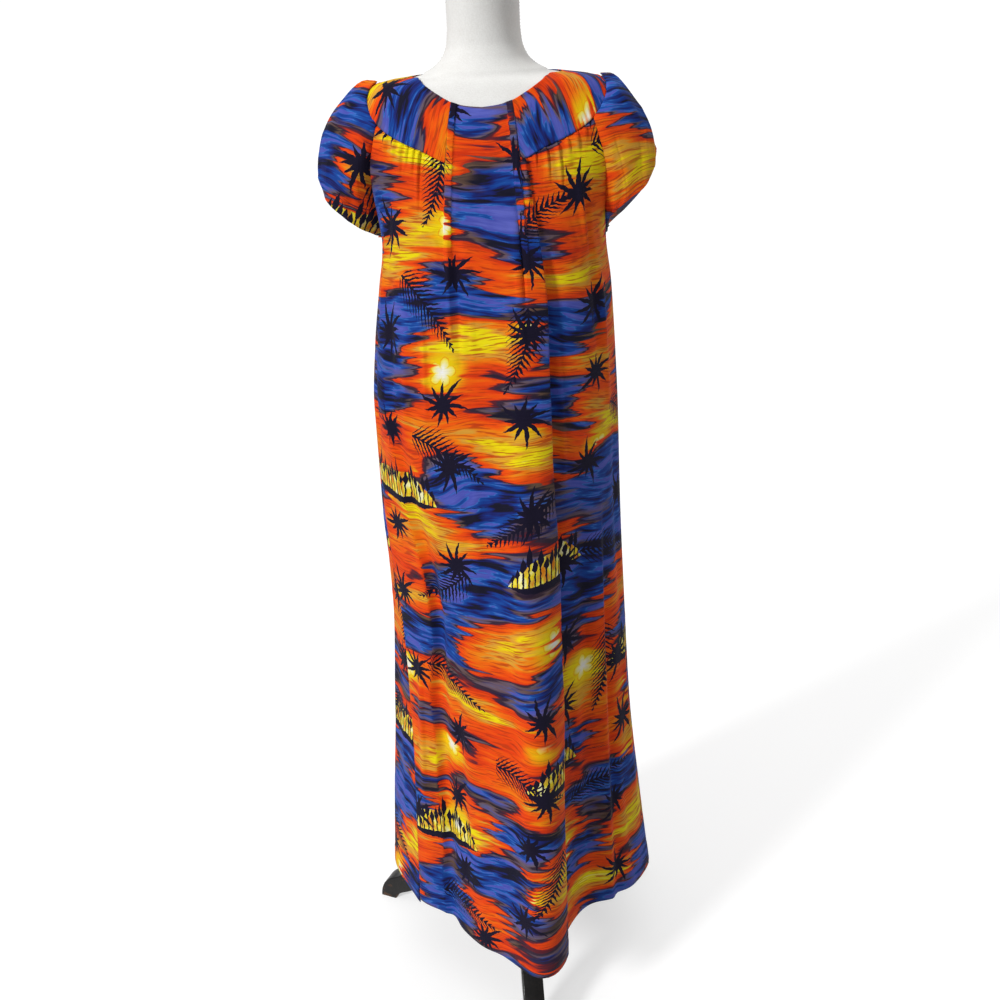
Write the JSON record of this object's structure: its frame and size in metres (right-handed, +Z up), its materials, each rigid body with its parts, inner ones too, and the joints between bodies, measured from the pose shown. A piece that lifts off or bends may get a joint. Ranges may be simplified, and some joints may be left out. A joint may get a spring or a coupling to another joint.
{
  "type": "hawaiian dress on a dress form",
  "caption": "Full-length printed cotton dress with yokes, stitched tucks and petal sleeves, on a limbless dress form with a tripod stand.",
  "frame": {"origin": "middle of the whole part's box, on the floor that the stand's feet rest on", "axes": "+Z up; -Y is the dress's front; +X is the wearer's left"},
  "size_m": [0.5118, 0.4872, 1.605],
  "materials": {
    "printed_cotton": "plain-weave cotton with an orange, yellow and blue streaked print and dark leaf sprays",
    "linen": "off-white linen stretched over the form, stitched side seams",
    "black_wood": "satin black paint on wood"
  },
  "bodies": {
    "root": {"front_body": "printed_cotton", "back_body": "printed_cotton", "yoke_left": "printed_cotton", "yoke_right": "printed_cotton", "sleeve_left_front_petal": "printed_cotton", "sleeve_left_back_petal": "printed_cotton", "sleeve_right_front_petal": "printed_cotton", "sleeve_right_back_petal": "printed_cotton", "form_torso": "linen", "stand_pole": "black_wood", "stand_hub": "black_wood", "stand_leg_front": "black_wood", "stand_leg_left": "black_wood", "stand_leg_right": "black_wood"}
  },
  "joints": []
}
